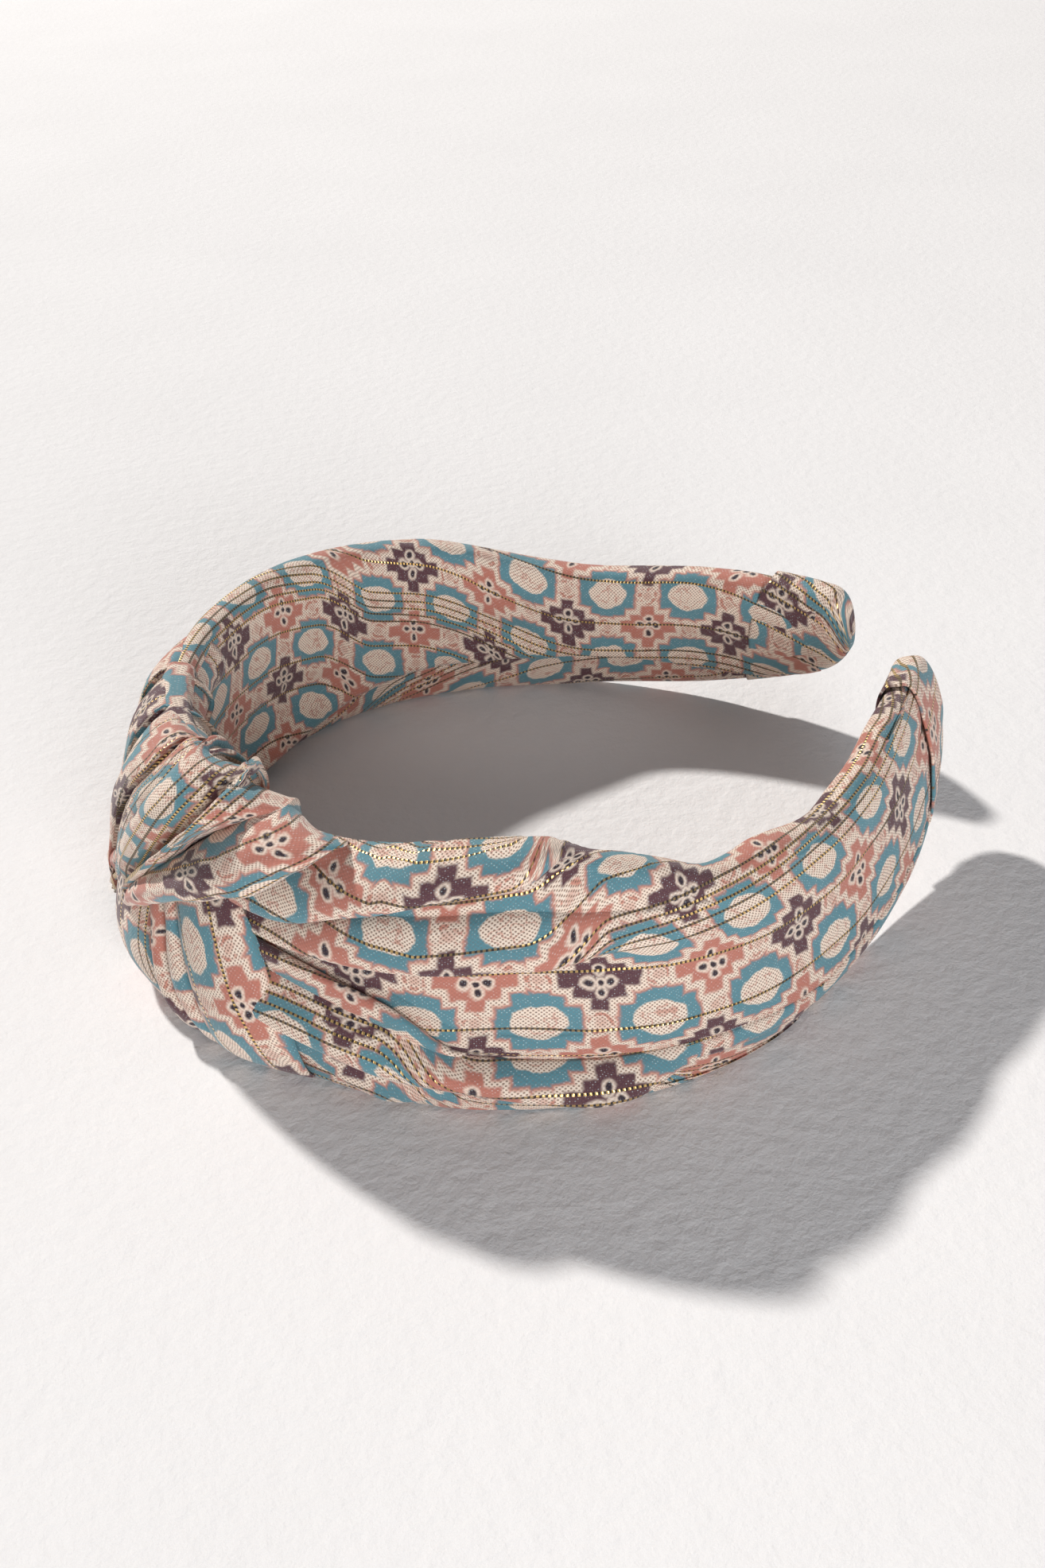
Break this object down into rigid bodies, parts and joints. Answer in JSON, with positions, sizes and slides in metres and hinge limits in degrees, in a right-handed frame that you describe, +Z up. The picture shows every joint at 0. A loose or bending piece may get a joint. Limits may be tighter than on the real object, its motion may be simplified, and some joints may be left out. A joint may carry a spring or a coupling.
{
  "type": "knotted fabric headband",
  "caption": "Wide padded hard headband wrapped in printed cloth, with a turban knot at the crown and tapering round tips.",
  "frame": {"origin": "on the surface it lies on, under the middle of its overall length and width", "axes": "+Z up, across the band's width; +X from the knotted crown to the open tips; +Y towards the left arm"},
  "size_m": [0.1656, 0.1398, 0.0466],
  "materials": {
    "printed_cloth": "thin open plain-weave cloth with a printed medallion pattern and metallic threads, matte",
    "hoop_plastic": "plain moulded plastic strip, satin",
    "pad_foam": "thin soft wadding, matte",
    "sewing_thread": "twisted polyester sewing thread"
  },
  "bodies": {
    "crown": {"hoop_crown": "hoop_plastic", "padding_crown": "pad_foam", "crown_sleeve": "printed_cloth", "crown_lap_thread": "sewing_thread", "knot_right_loop": "printed_cloth", "knot_left_loop": "printed_cloth"},
    "left_arm": {"hoop_left_arm": "hoop_plastic", "padding_left_arm": "pad_foam", "left_sleeve": "printed_cloth", "left_lap_thread": "sewing_thread", "left_tip_cap": "printed_cloth"},
    "right_arm": {"hoop_right_arm": "hoop_plastic", "padding_right_arm": "pad_foam", "right_sleeve": "printed_cloth", "right_lap_thread": "sewing_thread", "right_tip_cap": "printed_cloth"}
  },
  "joints": [
    {"name": "left_flex", "type": "hinge", "parent": "crown", "child": "left_arm", "pos_m": [-0.04256, 0.04854, 0.02247], "axis": [0.1027, -0.1255, 0.9868], "range_deg": [-3, 14], "stiffness_Nm_per_rad": 0.8},
    {"name": "right_flex", "type": "hinge", "parent": "crown", "child": "right_arm", "pos_m": [-0.04256, -0.04854, 0.02247], "axis": [-0.1027, -0.1255, -0.9868], "range_deg": [-3, 14], "stiffness_Nm_per_rad": 0.8}
  ]
}
